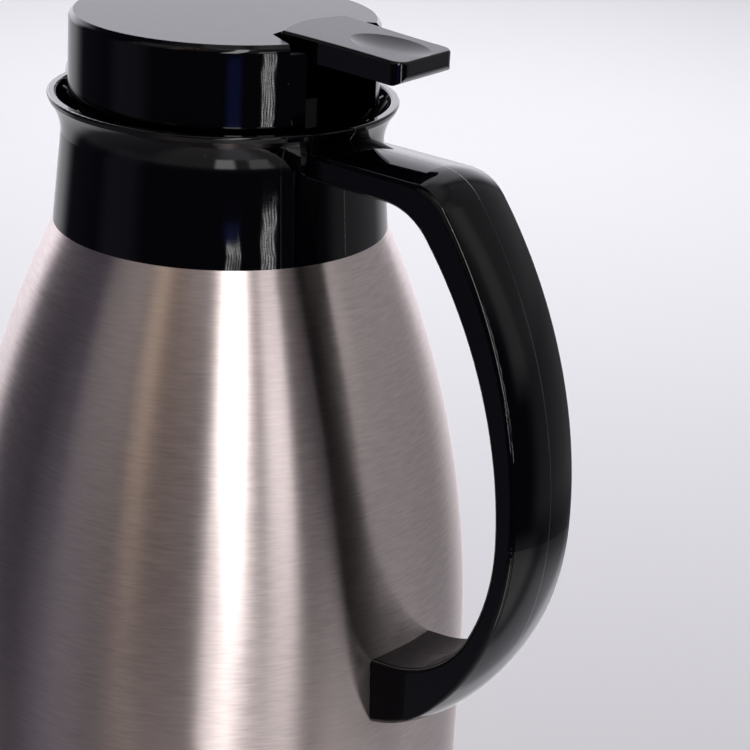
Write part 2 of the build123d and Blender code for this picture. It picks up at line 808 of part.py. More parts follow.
# --- Lid --------------------------------------------------------------------
with BuildPart() as lid_cover:
    with BuildSketch(lid_side):
        with BuildLine():
            FilletPolyline(
                (lid_top_radius, lid_top),
                (lid_side_radius, lid_top - lid_bevel),
                (lid_base_radius, lid_base),
                radius=lid_shoulder,
            )
            Polyline(
                (lid_base_radius, lid_base),
                (lid_base_radius - skirt_wall, lid_base),
                (lid_side_radius - skirt_wall, disc_underside),
                (0, disc_underside),
                (0, lid_top),
                (lid_top_radius, lid_top),
            )
        make_face()
    revolve(axis=Axis.Z)
    with BuildSketch(lid_level(disc_underside)):
        with BuildLine():
            tip, rim = notch_tip, notch_rim
            inner_end = ThreePointArc((tip[0], -tip[1]), (notch_middle, 0), tip)
            Polyline(
                inner_end @ 1,
                rim,
                (lid_base_radius + cut_margin, rim[1]),
                (lid_base_radius + cut_margin, -rim[1]),
                (rim[0], -rim[1]),
                inner_end @ 0,
            )
        make_face()
    extrude(amount=lid_thickness + cut_margin, mode=Mode.SUBTRACT)
    with BuildSketch(lid_level(lid_base)):
        with Locations((skirt_gap_start + lid_base_radius / 2, 0)):
            Rectangle(lid_base_radius, 2 * skirt_gap_half_width)
    extrude(amount=lid_top - lid_base, mode=Mode.SUBTRACT)
    with BuildSketch(lid_level(lid_base)):
        with lid_screw_places():
            Circle(lid_post_radius)
            Circle(lid_screw_radius + running_gap, mode=Mode.SUBTRACT)
    extrude(amount=disc_underside - lid_base)
save(lid_cover.part, "lid_cover")

with BuildPart() as stopper:
    with BuildSketch(lid_side):
        with BuildLine():
            Polyline(
                (stem_bore_radius, guide_base),
                (guide_foot_radius, guide_base),
                (guide_foot_radius, flange_base),
                (plug_outer - plug_wall, flange_base),
                (plug_outer - plug_wall, plug_base + plug_floor),
                (valve_port_radius, plug_base + plug_floor),
                (valve_port_radius, plug_base),
                (plug_outer, plug_base),
                (plug_outer, gasket_groove_base),
                (groove_radius, gasket_groove_base),
                (groove_radius, gasket_groove_base + gasket_groove_height),
                (plug_outer, gasket_groove_base + gasket_groove_height),
                (plug_outer, flange_base),
                (flange_radius, flange_base),
                (flange_radius, lid_base),
                (guide_radius, lid_base),
                (guide_radius, guide_top),
                (stem_bore_radius, guide_top),
                (stem_bore_radius, o_ring_base + o_ring_wire + running_gap),
                (stem_radius + o_ring_wire + seat_gap, o_ring_base + o_ring_wire + running_gap),
                (stem_radius + o_ring_wire + seat_gap, o_ring_base - running_gap),
                (stem_bore_radius, o_ring_base - running_gap),
                close=True,
            )
        make_face()
    revolve(axis=Axis.Z)
    with BuildSketch(lid_level(flange_base - outlet_drop)):
        with Locations((-plug_outer, 0)):
            Rectangle(plug_outer, 2 * outlet_half_width)
    extrude(amount=-outlet_height, mode=Mode.SUBTRACT)
    with BuildSketch(lid_level(stopper_lug_top)):
        with PolarLocations(0, lug_count):
            add(stopper_lug)
    extrude(amount=-lug_height)
    with BuildSketch(lid_level(lid_base)):
        Circle(lid_side_radius - skirt_wall - seat_gap)
        with Locations((back_wall_face - back_wall_thickness / 2, 0)):
            Rectangle(back_wall_thickness, 2 * lid_side_radius, mode=Mode.INTERSECT)
    extrude(amount=disc_underside - lid_base - seat_gap)
    with BuildSketch(lid_level(back_wall_top)):
        with Locations((back_wall_face, 0)):
            Rectangle(2 * cut_margin + back_wall_thickness, 2 * back_wall_dip_half_width)
    extrude(amount=lid_thickness + lid_top - back_wall_top, mode=Mode.SUBTRACT)
    with BuildSketch(lid_level(arm_slot_base)):
        with Locations((back_wall_face, 0)):
            Rectangle(
                2 * cut_margin + back_wall_thickness, 2 * (lever_arm_half_width + arm_slot_gap)
            )
    extrude(amount=lid_top - arm_slot_base, mode=Mode.SUBTRACT)
    with BuildSketch(lid_side):
        with Locations((pivot_x, pivot_height)):
            Circle(ear_half_length)
        with Locations((pivot_x, (lid_base + pivot_height) / 2)):
            Rectangle(2 * ear_half_length, pivot_height - lid_base)
    extrude(amount=ear_outer, both=True)
    with BuildSketch(lid_level(lid_base)):
        with Locations((pivot_x, 0)):
            Rectangle(2 * ear_half_length + cut_margin, 2 * ear_inner)
    extrude(amount=lid_top - lid_base, mode=Mode.SUBTRACT)
    with BuildSketch(lid_side):
        with Locations((pivot_x, pivot_height)):
            Circle(pin_radius + running_gap)
    extrude(amount=ear_outer, both=True, mode=Mode.SUBTRACT)
    with BuildSketch(lid_level(flange_base)):
        with lid_screw_places():
            Circle(lid_screw_radius + running_gap)
    extrude(amount=flange_thickness, mode=Mode.SUBTRACT)
save(stopper.part, "stopper")

with BuildPart() as lid_screw:
    with BuildSketch(upright_plane(0, 0)):
        with BuildLine():
            screw_half(
                lid_screw_radius, lid_screw_length, lid_screw_head_radius, lid_screw_head_height
            )
        make_face()
    revolve(axis=Axis.Z)

with BuildPart(lid_level(flange_base)) as lid_screws:
    with lid_screw_places():
        add(lid_screw.part)
save(lid_screws.part, "lid_screws")

with BuildPart() as stopper_gasket:
    with BuildSketch(lid_side):
        with BuildLine():
            low = gasket_groove_base + loose_gap
            high = gasket_groove_base + gasket_groove_height - loose_gap
            lip_tip = throat_radius - loose_gap
            band_radius = plug_outer + running_gap
            middle = (low + high) / 2
            Polyline(
                (groove_radius + loose_gap, low),
                (band_radius, low),
                (lip_tip, low + gasket_lip / 2),
                (lip_tip, low + gasket_lip),
                (band_radius, low + 2 * gasket_lip),
                (band_radius, middle),
                (lip_tip, middle + gasket_lip / 2),
                (lip_tip, middle + gasket_lip),
                (band_radius, middle + 2 * gasket_lip),
                (band_radius, high),
                (groove_radius + loose_gap, high),
                close=True,
            )
        make_face()
    revolve(axis=Axis.Z)
save(stopper_gasket.part, "stopper_gasket")

# --- Thumb lever ------------------------------------------------------------
slope = tan(radians(lever_slope))


def lever_top(along):
    """Height of the lever's top face at a distance from the lid's axis."""
    return lever_height - slope * (along - lever_proud_place)


def lever_plan(inset=0.0):
    """Plan of the lever's plate, moved in by inset."""
    tip_x, tip_y = lever_tip[0] + inset, lever_tip[1] - inset
    end_x, end_y = lever_end - inset, lever_end_half_width - inset
    with BuildSketch(lid_level(lever_arm_base)) as plan:
        with BuildLine():
            ThreePointArc((tip_x, -tip_y), (lever_middle + inset, 0), (tip_x, tip_y))
            for side in (-1, 1):
                ThreePointArc(
                    (tip_x, side * tip_y),
                    (lever_waist[0], side * (lever_waist[1] - inset)),
                    (end_x, side * end_y),
                )
            Line((end_x, -end_y), (end_x, end_y))
        make_face()
        corners = plan.vertices().sort_by(Axis((0, 0, 0), lid_along))
        fillet(corners[-2:], lever_corner - inset)
        tips = plan.vertices().sort_by(Axis((0, 0, 0), lid_along))[:2]
        fillet(tips, lever_tip_edge)
    return plan.sketch


lever_low = lever_top(lever_end) - lever_thickness

with BuildPart() as lever_pocket:
    extrude(lever_plan(lever_side_wall), amount=lever_height - lever_arm_base)
    with BuildSketch(lid_side):
        with BuildLine():
            start, end = lever_middle, lever_end
            Polyline(
                (start, lever_low - cut_margin),
                (end, lever_low - cut_margin),
                (end, lever_top(end) - lever_skin),
                (start, lever_top(start) - lever_skin),
                close=True,
            )
        make_face()
    extrude(amount=lever_tip[1], both=True, mode=Mode.INTERSECT)

with BuildPart() as thumb_lever:
    extrude(lever_plan(), amount=lever_height + cut_margin - lever_arm_base)
    with BuildSketch(lid_side):
        with BuildLine():
            start, end = lever_middle - cut_margin, lever_end + cut_margin
            heel = (lever_end - lever_heel, lever_top(lever_end - lever_heel) - lever_thickness)
            heel_arc = TangentArc(
                heel, (lever_end, lever_low + lever_heel), tangent=(1, -slope)
            )
            Polyline(
                heel_arc @ 1,
                (lever_end, lever_top(lever_end)),
                (start, lever_top(start)),
                (start, lever_top(start) - lever_thickness),
                heel_arc @ 0,
            )
        make_face()
    extrude(amount=lever_tip[1] + cut_margin, both=True, mode=Mode.INTERSECT)
    top_face = thumb_lever.faces().sort_by(Axis.Z)[-1]
    fillet(top_face.edges(), lever_edge)
    add(lever_pocket.part, mode=Mode.SUBTRACT)
    dimple_plane = Plane(
        origin=lid_side.from_local_coords((dimple_centre, lever_top(dimple_centre), 0)),
        x_dir=lid_side.x_dir - slope * lid_side.y_dir,
        z_dir=lid_side.z_dir,
    )
    with BuildSketch(dimple_plane):
        with BuildLine():
            across_radius = dimple_half_width**2 / (2 * dimple_depth)
            along_radius = dimple_half_length**2 / (2 * dimple_depth)
            reach = dimple_half_length + cut_margin
            rim = reach**2 / (2 * along_radius) - dimple_depth
            axis_height = across_radius - dimple_depth
            hollow = ThreePointArc((-reach, rim), (0, -dimple_depth), (reach, rim))
            Polyline(hollow @ 1, (reach, axis_height), (-reach, axis_height), hollow @ 0)
        make_face()
    revolve(
        axis=Axis(dimple_plane.from_local_coords((0, axis_height, 0)), dimple_plane.x_dir),
        mode=Mode.SUBTRACT,
    )
    with BuildSketch(lid_side):
        with BuildLine():
            inner_wall = lever_middle + lever_side_wall / 2
            Polyline(
                (pivot_x, lever_arm_base),
                (skirt_gap_start, lever_arm_base),
                (lever_arm_end, lever_top(lever_arm_end) - lever_thickness),
                (lever_arm_end, lever_top(lever_arm_end) - lever_skin / 2),
                (inner_wall, lever_top(inner_wall) - lever_skin / 2),
                (inner_wall, disc_underside),
                (notch_middle, lever_arm_top),
                (pivot_x, lever_arm_top),
                close=True,
            )
        make_face()
        with Locations((pivot_x, pivot_height)):
            Circle(pivot_boss_radius)
        with Locations((0, pad_base + lever_pad_radius)):
            Circle(lever_pad_radius)
    extrude(amount=lever_arm_half_width, both=True)
    with BuildSketch(lid_side):
        with Locations((pivot_x, pivot_height)):
            Circle(pin_radius + running_gap)
    extrude(amount=lever_arm_half_width, both=True, mode=Mode.SUBTRACT)
save(thumb_lever.part, "thumb_lever")

with BuildPart() as lever_pin:
    with BuildSketch(lid_side):
        with Locations((pivot_x, pivot_height)):
            Circle(pin_radius)
    extrude(amount=ear_outer, both=True)
save(lever_pin.part, "lever_pin")

# --- Valve ------------------------------------------------------------------
with BuildPart() as stem_cap:
    with BuildSketch(Plane.XY.offset(stem_shoulder)):
        Circle(cap_radius)
    extrude(amount=cap_thickness)
    fillet(stem_cap.edges().group_by(Axis.Z)[-1], cap_thickness / 4)
    with BuildSketch(Plane.XY.offset(stem_shoulder)):
        Circle(cap_radius)
        Circle(cap_radius - cap_skirt_wall, mode=Mode.SUBTRACT)
    extrude(amount=-cap_skirt_depth)
    with BuildSketch(Plane.XY.offset(stem_shoulder)):
        Circle(stem_spigot_radius + running_gap)
    extrude(amount=stem_spigot_height + loose_gap, mode=Mode.SUBTRACT)
save(stem_cap.part, "stem_cap")

with BuildPart() as valve_stem:
    with BuildSketch(Plane.XY.offset(disc_top)):
        Circle(stem_radius)
    extrude(amount=stem_shoulder - disc_top)
    with BuildSketch(Plane.XY.offset(stem_shoulder)):
        Circle(stem_spigot_radius)
    extrude(amount=stem_spigot_height)
    with BuildSketch(Plane.XY.offset(disc_base)):
        Circle(screw_hole_radius)
    extrude(amount=valve_screw_length + loose_gap, mode=Mode.SUBTRACT)
save(valve_stem.part, "valve_stem")

with BuildPart() as valve_spring:
    with BuildLine():
        spring_radius = (guide_radius + cap_radius - cap_skirt_wall) / 2
        spring_height = stem_shoulder - lid_base - 2 * spring_wire_radius
        coil = Helix(
            spring_height / spring_turns,
            spring_height,
            spring_radius,
            center=(0, 0, lid_base + spring_wire_radius),
        )
    with BuildSketch(Plane(origin=coil @ 0, z_dir=coil % 0)):
        Circle(spring_wire_radius)
    sweep(is_frenet=True)
save(valve_spring.part, "valve_spring")

with BuildPart() as valve_disc:
    with BuildSketch(Plane.XY.offset(disc_base)):
        Circle(valve_disc_radius)
        Circle(screw_hole_radius, mode=Mode.SUBTRACT)
    extrude(amount=valve_disc_thickness)
    chamfer(valve_disc.edges().group_by(Axis.Z)[0].sort_by(SortBy.RADIUS)[-1], valve_disc_thickness / 3)
save(valve_disc.part, "valve_disc")

with BuildPart() as valve_seal:
    seal_radius = valve_disc_radius - loose_gap
    with BuildSketch(Plane.XY.offset(disc_top)):
        Circle(seal_radius)
        Circle(seal_radius - valve_seal_width, mode=Mode.SUBTRACT)
    extrude(amount=valve_seal_height)
    fillet(valve_seal.edges().group_by(Axis.Z)[-1], valve_seal_height / 4)
save(valve_seal.part, "valve_seal")

with BuildPart() as valve_screw:
    with BuildSketch(upright_plane(0, disc_base)):
        with BuildLine():
            screw_half(
                screw_radius, valve_screw_length, valve_screw_head_radius, valve_screw_head_height
            )
        make_face()
    revolve(axis=Axis.Z)
save(valve_screw.part, "valve_screw")

with BuildPart() as stem_seal:
    with BuildSketch(Plane.XZ):
        ring = o_ring_wire / 2
        with Locations((stem_bore_radius + ring, o_ring_base + ring)):
            Circle(ring)
    revolve(axis=Axis.Z)
save(stem_seal.part, "stem_seal")
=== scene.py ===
"""Looks of a vacuum carafe: finishes, seams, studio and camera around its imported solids.

Everything is in metres in the solids' own frame: +Z runs up the carafe's axis, +X points at
the handle and the surface that the carafe stands on is at zero.
"""
import logging
from dataclasses import dataclass, field, replace
from enum import Enum
from math import cos, degrees, radians, sin, tan, tau

import bmesh
import bpy
from mathutils import Matrix, Vector

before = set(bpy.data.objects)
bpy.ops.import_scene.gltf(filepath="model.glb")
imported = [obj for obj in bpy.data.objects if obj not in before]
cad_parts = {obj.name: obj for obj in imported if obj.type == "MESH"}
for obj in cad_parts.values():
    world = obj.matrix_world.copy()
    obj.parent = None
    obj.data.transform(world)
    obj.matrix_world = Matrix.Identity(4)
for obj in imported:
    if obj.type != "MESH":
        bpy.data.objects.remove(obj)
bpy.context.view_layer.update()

LAMP_POWER = 4.0  # watts for a square metre of lamp, per unit of radiance
MIDDLE = 0.5  # middle value of a noise pattern and of a blend
MIX_SHARE, MIX_LOW, MIX_HIGH = 0, 6, 7  # inputs of a Mix node that blends colours
MIX_COLOUR = 2  # output of such a node
log = logging.getLogger("carafe")

Value = "Signal | float | tuple[float, ...]"
Span = tuple[float, float]
Triple = tuple[float, float, float]


class Operation(Enum):
    """What a Math node does with its inputs."""

    ADD = "ADD"
    SUBTRACT = "SUBTRACT"
    MULTIPLY = "MULTIPLY"
    ABSOLUTE = "ABSOLUTE"
    SINE = "SINE"
    ARCSINE = "ARCSINE"
    ARCTAN2 = "ARCTAN2"


class Signal:
    """A node's output that takes part in Python arithmetic."""

    def __init__(self, graph: "Graph", socket: bpy.types.NodeSocket) -> None:
        """Wrap an output socket of one of the graph's nodes."""
        self.graph = graph
        self.socket = socket

    def __add__(self, other: Value) -> "Signal":
        """Sum of two values."""
        return self.graph.math(Operation.ADD, self, other)

    def __radd__(self, other: Value) -> "Signal":
        """Sum with a number on the left."""
        return self.graph.math(Operation.ADD, other, self)

    def __sub__(self, other: Value) -> "Signal":
        """Difference of two values."""
        return self.graph.math(Operation.SUBTRACT, self, other)

    def __rsub__(self, other: Value) -> "Signal":
        """Difference from a number on the left."""
        return self.graph.math(Operation.SUBTRACT, other, self)

    def __mul__(self, other: Value) -> "Signal":
        """Product of two values."""
        return self.graph.math(Operation.MULTIPLY, self, other)

    def __rmul__(self, other: Value) -> "Signal":
        """Product with a number on the left."""
        return self.graph.math(Operation.MULTIPLY, other, self)

    def __abs__(self) -> "Signal":
        """Size of a value."""
        return self.graph.math(Operation.ABSOLUTE, self)

    def swing(self, amount: float) -> "Signal":
        """A noise pattern about its middle, times an amount."""
        return (self - MIDDLE) * amount

    def ramp(self, low: float, high: float) -> "Signal":
        """Ease from 0 where the value is low to 1 where it is high."""
        settings = {"interpolation_type": "SMOOTHSTEP"}
        return self.graph.add("MapRange", settings, self, low, high, 0.0, 1.0)


class Graph:
    """The shader nodes of one material, or of the room."""

    def __init__(self, owner: bpy.types.Material | bpy.types.World) -> None:
        """Empty the owner's node tree.

        Args:
            owner: The material or world that the nodes belong to.
        """
        owner.use_nodes = True
        self.owner = owner
        self.tree = owner.node_tree
        self.tree.nodes.clear()
        self.coordinates = self.tree.nodes.new("ShaderNodeTexCoord")

    @classmethod
    def material(cls, name: str) -> "Graph":
        """The empty graph of a new material."""
        return cls(bpy.data.materials.new(name))

    def add(
        self, kind: str, settings: dict[str, str] | None = None, *values: Value, **named: Value
    ) -> Signal:
        """Add any node.

        Args:
            kind: The node's type, without its ShaderNode prefix.
            settings: Properties that are set before the inputs.
            values: Inputs in their order.
            named: Inputs by name, with underscores for spaces.

        Returns:
            The node's first output.
        """
        node = self.tree.nodes.new("ShaderNode" + kind)
        for key, value in (settings or {}).items():
            setattr(node, key, value)
        for number, value in enumerate(values):
            self.feed(node.inputs[number], value)
        for key, value in named.items():
            self.feed(node.inputs[key.replace("_", " ")], value)
        return Signal(self, node.outputs[0])

    def feed(self, socket: bpy.types.NodeSocket, value: Value) -> None:
        """Link a signal to an input, or set a plain value on it.

        Args:
            socket: The input.
            value: A signal, a number or a colour.
        """
        if isinstance(value, Signal):
            self.tree.links.new(value.socket, socket)
        else:
            socket.default_value = value

    def math(self, operation: Operation, *values: Value) -> Signal:
        """Result of a Math node."""
        return self.add("Math", {"operation": operation.value}, *values)

    def place(self, scale: Triple = (1.0, 1.0, 1.0), turn: float = 0.0) -> Signal:
        """Object coordinates, turned about Z and scaled.

        Args:
            scale: Scale along each axis, per metre.
            turn: Turn in degrees.

        Returns:
            The coordinates.
        """
        source = Signal(self, self.coordinates.outputs["Object"])
        rotation = (0.0, 0.0, -radians(turn))
        return self.add("Mapping", None, source, (0.0, 0.0, 0.0), rotation, scale)

    def parts(self, vector: Signal) -> tuple[Signal, Signal, Signal]:
        """The X, Y and Z parts of a vector."""
        node = self.add("SeparateXYZ", None, vector).socket.node
        return tuple(Signal(self, socket) for socket in node.outputs)

    def upward(self) -> Signal:
        """How far the surface faces up, from -1 to 1."""
        return self.parts(Signal(self, self.coordinates.outputs["Normal"]))[2]

    def noise(self, vector: Signal, detail: float) -> Signal:
        """Soft random pattern from 0 to 1, with finer layers by its detail."""
        return self.add("TexNoise", None, Vector=vector, Scale=1.0, Detail=detail)

    def cells(self, vector: Signal, scale: float) -> tuple[Signal, Signal]:
        """Scattered points.

        Args:
            vector: Where the pattern is read.
            scale: Points per unit.

        Returns:
            The distance to the nearest point, and a random value of that point.
        """
        node = self.add("TexVoronoi", None, Vector=vector, Scale=scale).socket.node
        chance = self.parts(Signal(self, node.outputs["Color"]))[0]
        return Signal(self, node.outputs["Distance"]), chance

    def mix(self, share: Value, low: Signal | Triple, high: Triple) -> Signal:
        """Blend of two colours.

        Args:
            share: Share of the second colour.
            low: The first colour.
            high: The second colour.

        Returns:
            The blended colour.
        """
        node = self.tree.nodes.new("ShaderNodeMix")
        node.data_type = "RGBA"
        self.feed(node.inputs[MIX_SHARE], share)
        self.feed(node.inputs[MIX_LOW], low if isinstance(low, Signal) else (*low, 1.0))
        self.feed(node.inputs[MIX_HIGH], (*high, 1.0))
        return Signal(self, node.outputs[MIX_COLOUR])

    def bump(self, height: Signal, depth: float) -> Signal:
        """Surface direction over a pattern whose height of 1 is a depth in metres."""
        return self.add("Bump", None, Strength=1.0, Distance=depth, Height=height)

    def finish(self, **sockets: Value) -> bpy.types.Material:
        """Join a Principled surface to the output.

        Args:
            sockets: The surface's inputs by name, with underscores for spaces.

        Returns:
            The material.
        """
        surface = self.add("BsdfPrincipled", None, **sockets)
        output = self.tree.nodes.new("ShaderNodeOutputMaterial")
        self.tree.links.new(surface.socket, output.inputs["Surface"])
        return self.owner


@dataclass(frozen=True)
class BrushedSteel:
    """Stainless sheet that was brushed round and round on a lathe."""

    tint: Triple = (0.575, 0.498, 0.478)
    bright: Triple = (0.71, 0.616, 0.592)
    roughness: float = 0.33
    spread: float = 0.12
    fine_scale: Triple = (190.0, 190.0, 3400.0)
    coarse_scale: Triple = (150.0, 150.0, 1400.0)
    cloud_scale: Triple = (14.0, 14.0, 9.0)
    fine_share: float = 0.5
    contrast: float = 2.6
    cloud_contrast: float = 0.35
    brushing: float = 1.0
    brushing_turn: float = 0.25
    grain_height: float = 0.0000013

    def build(self, name: str) -> bpy.types.Material:
        """Make the finish.

        Args:
            name: The material's name.

        Returns:
            The material.
        """
        graph = Graph.material(name)
        fine = graph.noise(graph.place(self.fine_scale), detail=3.0)
        coarse = graph.noise(graph.place(self.coarse_scale), detail=3.0)
        cloud = graph.noise(graph.place(self.cloud_scale), detail=1.0)
        grain = fine * self.fine_share + coarse * (1.0 - self.fine_share)
        share = grain.swing(self.contrast) + MIDDLE + cloud.swing(self.cloud_contrast)
        return graph.finish(
            Base_Color=graph.mix(share.ramp(0.0, 1.0), self.tint, self.bright),
            Metallic=1.0,
            Roughness=self.roughness + coarse.swing(self.spread) + cloud.swing(self.spread),
            Anisotropic=self.brushing,
            Anisotropic_Rotation=self.brushing_turn,
            Normal=graph.bump(grain, self.grain_height),
        )


@dataclass(frozen=True)
class BlackPlastic:
    """Moulded black plastic, glossy, or satin where it faces up, with a few specks of dust.

    Seams are azimuths in degrees. Ripple and ridge are heights in units of the depth.
    """

    colour: Triple = (0.0017, 0.0015, 0.0032)
    dust: Triple = (0.16, 0.16, 0.18)
    gloss: float = 0.045
    satin: float = 0.0
    satin_facing: Span = (0.80, 0.97)
    shine: float = 0.31
    ior: float = 1.5
    ripple_scale: Triple = (160.0, 160.0, 160.0)
    ripple: float = 0.5
    scuff_scale: Triple = (900.0, 900.0, 120.0)
    scuff_span: Span = (0.62, 0.74)
    scuff_rough: float = 0.04
    speck_scale: float = 400.0
    speck_span: Span = (0.06, 0.03)
    speck_chance: Span = (0.90, 0.98)
    speck_rough: float = 0.4
    seams: tuple[float, ...] = ()
    seam_half_width: float = 0.00016
    seam_start: float = 0.001
    ridge: float = 12.0
    depth: float = 0.000006

    def build(self, name: str) -> bpy.types.Material:
        """Make the finish.

        Args:
            name: The material's name.

        Returns:
            The material.
        """
        graph = Graph.material(name)
        upward = graph.upward().ramp(*self.satin_facing)
        scuff = graph.noise(graph.place(self.scuff_scale), detail=4.0).ramp(*self.scuff_span)
        distance, chance = graph.cells(graph.place(), self.speck_scale)
        speck = distance.ramp(*self.speck_span) * chance.ramp(*self.speck_chance)
        rough = self.gloss + scuff * self.scuff_rough + upward * self.satin
        height = graph.noise(graph.place(self.ripple_scale), detail=1.0) * self.ripple
        for azimuth in self.seams:
            along, across, _ = graph.parts(graph.place(turn=azimuth))
            near = abs(across).ramp(self.seam_half_width, 0.0)
            height = height + near * along.ramp(0.0, self.seam_start) * self.ridge
        return graph.finish(
            Base_Color=graph.mix(speck, self.colour, self.dust),
            Roughness=rough + speck * self.speck_rough,
            IOR=self.ior,
            Specular_IOR_Level=self.shine,
            Normal=graph.bump(height, self.depth),
        )


@dataclass(frozen=True)
class BareMetal:
    """Plain metal of a fastener, spring or hidden sheet."""

    colour: Triple = (0.62, 0.61, 0.60)
    shade: float = 0.8
    roughness: float = 0.28
    spread: float = 0.15
    mottle_scale: Triple = (400.0, 400.0, 400.0)
    mottle_depth: float = 0.000004

    def build(self, name: str) -> bpy.types.Material:
        """Make the finish.

        Args:
            name: The material's name.

        Returns:
            The material.
        """
        graph = Graph.material(name)
        mottle = graph.noise(graph.place(self.mottle_scale), detail=3.0)
        darker = tuple(part * self.shade for part in self.colour)
        return graph.finish(
            Base_Color=graph.mix(mottle, darker, self.colour),
            Metallic=1.0,
            Roughness=self.roughness + mottle.swing(self.spread),
            Normal=graph.bump(mottle, self.mottle_depth),
        )


@dataclass(frozen=True)
class SoftRubber:
    """Moulded rubber or silicone with a fine matt skin."""

    colour: Triple = (0.02, 0.02, 0.02)
    bloom: float = 1.35
    roughness: float = 0.6
    spread: float = 0.2
    mottle_scale: Triple = (90.0, 90.0, 90.0)
    skin_scale: Triple = (2500.0, 2500.0, 2500.0)
    skin_depth: float = 0.00002

    def build(self, name: str) -> bpy.types.Material:
        """Make the finish.

        Args:
            name: The material's name.

        Returns:
            The material.
        """
        graph = Graph.material(name)
        skin = graph.noise(graph.place(self.skin_scale), detail=2.0)
        mottle = graph.noise(graph.place(self.mottle_scale), detail=2.0)
        lighter = tuple(part * self.bloom for part in self.colour)
        return graph.finish(
            Base_Color=graph.mix(mottle, self.colour, lighter),
            Roughness=self.roughness + mottle.swing(self.spread),
            Normal=graph.bump(skin, self.skin_depth),
        )


def dress(finish: bpy.types.Material, *nodes: str) -> None:
    """Give solids a finish.

    Args:
        finish: The material.
        nodes: Names of the solids' nodes.
    """
    for node in nodes:
        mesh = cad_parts[node].data
        mesh.materials.clear()
        mesh.materials.append(finish)
        log.info("%s: %s", node, finish.name)


@dataclass
class SteelBody:
    """The double-walled steel flask."""

    skin: BrushedSteel = field(default_factory=BrushedSteel)
    sheet: BareMetal = field(default_factory=BareMetal)
    cover: SoftRubber = field(default_factory=SoftRubber)

    def build(self) -> None:
        """Dress the flask's pieces."""
        dress(self.skin.build("brushed steel"), "outer_shell")
        dress(
            self.sheet.build("flask sheet"),
            "inner_flask", "base_plate", "vacuum_seal_cap", "getter", "handle_bracket",
        )
        dress(self.cover.build("base rubber"), "base_cover")


@dataclass
class Mouldings:
    """The black collar, handle, lid and lever."""

    collar: BlackPlastic = field(default_factory=lambda: BlackPlastic(seams=(0.0, -25.6)))
    handle: BlackPlastic = field(default_factory=lambda: BlackPlastic(seams=(0.0,), shine=0.23))
    lid: BlackPlastic = field(default_factory=lambda: BlackPlastic(satin=0.30))
    inner: BlackPlastic = field(
        default_factory=lambda: BlackPlastic(colour=(0.002, 0.002, 0.0025), gloss=0.07)
    )

    def build(self) -> None:
        """Dress the mouldings."""
        dress(self.collar.build("collar plastic"), "collar")
        dress(self.handle.build("handle plastic"), "handle", "handle_plug")
        dress(self.lid.build("lid plastic"), "lid_cover", "thumb_lever")
        dress(
            self.inner.build("inner plastic"),
            "stopper", "handle_liner", "collar_clip", "stem_cap", "valve_stem", "valve_disc",
        )


@dataclass
class SmallParts:
    """Seals, screws, the spring and the lever's pin."""

    seal: SoftRubber = field(
        default_factory=lambda: SoftRubber(colour=(0.42, 0.42, 0.40), roughness=0.45)
    )
    fastener: BareMetal = field(default_factory=BareMetal)

    def build(self) -> None:
        """Dress the small parts."""
        dress(
            self.seal.build("silicone"), "neck_gasket", "stopper_gasket", "valve_seal", "stem_seal"
        )
        dress(
            self.fastener.build("stainless fastener"),
            "handle_lower_screw", "handle_arm_screws", "lid_screws", "lever_pin", "valve_screw",
            "valve_spring",
        )


@dataclass(frozen=True)
class Glow:
    """A soft bright patch of the room, as the carafe sees it.

    Azimuths, elevations, widths and fades are in degrees. Lean is how many degrees the patch
    moves sideways per degree of elevation, and folds is the swing of its hanging folds.
    """

    azimuth: float
    half_width: float
    low: float
    high: float
    radiance: float
    tint: Triple = (1.0, 1.0, 1.0)
    side_fade: float = 3.0
    end_fade: float = 8.0
    folds: float = 0.0
    lean: float = 0.0

    def light(self, azimuth: Signal, elevation: Signal, folds: Signal) -> Signal:
        """Radiance of the patch in a direction.

        Args:
            azimuth: Direction round the carafe in degrees, from the camera's side.
            elevation: Direction over the horizon in degrees.
            folds: A pattern of hanging folds.

        Returns:
            The patch's radiance there.
        """
        away = abs(azimuth - elevation * self.lean - self.azimuth)
        side = away.ramp(self.half_width + self.side_fade, self.half_width - self.side_fade)
        foot = elevation.ramp(self.low - self.end_fade, self.low + self.end_fade)
        head = elevation.ramp(self.high + self.end_fade, self.high - self.end_fade)
        return side * foot * head * (1.0 + folds.swing(self.folds)) * self.radiance


@dataclass(frozen=True)
class Lamp:
    """A wide soft light that glossy surfaces don't mirror."""

    name: str
    place: Triple
    width: float
    radiance: float
    tint: Triple = (1.0, 1.0, 1.0)

    def build(self) -> None:
        """Hang the light over the floor, facing down."""
        light = bpy.data.lights.new(self.name, "AREA")
        light.size = self.width
        light.energy = self.radiance * self.width**2 * LAMP_POWER
        light.color = self.tint
        lamp = bpy.data.objects.new(self.name, light)
        lamp.location = self.place
        lamp.visible_camera = False
        lamp.visible_glossy = False
        bpy.context.scene.collection.objects.link(lamp)


